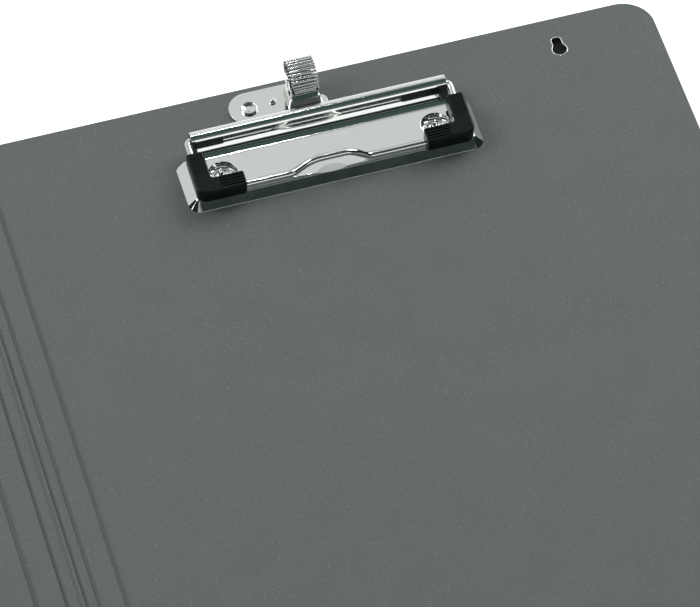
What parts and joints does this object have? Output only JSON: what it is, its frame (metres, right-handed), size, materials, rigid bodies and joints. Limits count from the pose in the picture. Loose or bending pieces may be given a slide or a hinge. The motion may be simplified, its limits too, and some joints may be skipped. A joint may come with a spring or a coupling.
{
  "type": "clipboard folder",
  "caption": "A4 folder of creased grey plastic sheet, lying open, with a sprung wire clip on its back board, a coiled pen loop and a keyhole hanging hole.",
  "frame": {"origin": "under the middle of the open folder, on its outer face", "axes": "+X from the front cover to the back board, +Y along the sheet towards the clip, +Z out of the inner face"},
  "size_m": [0.4872, 0.335, 0.0185],
  "materials": {
    "sheet": "fine matt grain with light speckles",
    "nickel_plate": "bright nickel plate on pressed sheet",
    "nickel_wire": "bright nickel plate on drawn wire",
    "black_plastic": "semi-gloss moulded plastic"
  },
  "bodies": {
    "board": {"back_board": "sheet", "clip_base_plate": "nickel_plate", "clip_rivets": "nickel_wire", "pen_holder_plate": "nickel_plate", "pen_holder_rivet": "nickel_wire", "pen_holder_pin": "nickel_wire", "pen_loop_bracket": "nickel_plate", "pen_loop_ferrules": "nickel_plate", "pen_loop_spring": "nickel_wire", "hang_hole_lining": "nickel_plate"},
    "strip_1": {"spine_strip_1": "sheet"},
    "strip_2": {"spine_strip_2": "sheet"},
    "strip_3": {"spine_strip_3": "sheet"},
    "strip_4": {"spine_strip_4": "sheet"},
    "cover": {"front_cover": "sheet"},
    "bail": {"clip_bail_wire": "nickel_wire", "corner_cap_left": "black_plastic", "corner_cap_right": "black_plastic"}
  },
  "joints": [
    {"name": "crease_1", "type": "hinge", "parent": "board", "child": "strip_1", "pos_m": [0.0136, 0, 0], "axis": [0, 1, 0], "range_deg": [-60, 55]},
    {"name": "crease_2", "type": "hinge", "parent": "strip_1", "child": "strip_2", "pos_m": [0.0051, 0, 0], "axis": [0, 1, 0], "range_deg": [-20, 18.3]},
    {"name": "crease_3", "type": "hinge", "parent": "strip_2", "child": "strip_3", "pos_m": [0.0014, 0, 0], "axis": [0, 1, 0], "range_deg": [-20, 18.3]},
    {"name": "crease_4", "type": "hinge", "parent": "strip_3", "child": "strip_4", "pos_m": [-0.0046, 0, 0], "axis": [0, 1, 0], "range_deg": [-20, 18.3]},
    {"name": "crease_5", "type": "hinge", "parent": "strip_4", "child": "cover", "pos_m": [-0.0136, 0, 0], "axis": [0, 1, 0], "range_deg": [-60, 55]},
    {"name": "bail_hinge", "type": "hinge", "parent": "board", "child": "bail", "pos_m": [0.1234, 0.145, 0.00805], "axis": [-1, 0, 0], "range_deg": [0, 95], "stiffness_Nm_per_rad": 0.15, "springref_deg": -85.94}
  ]
}
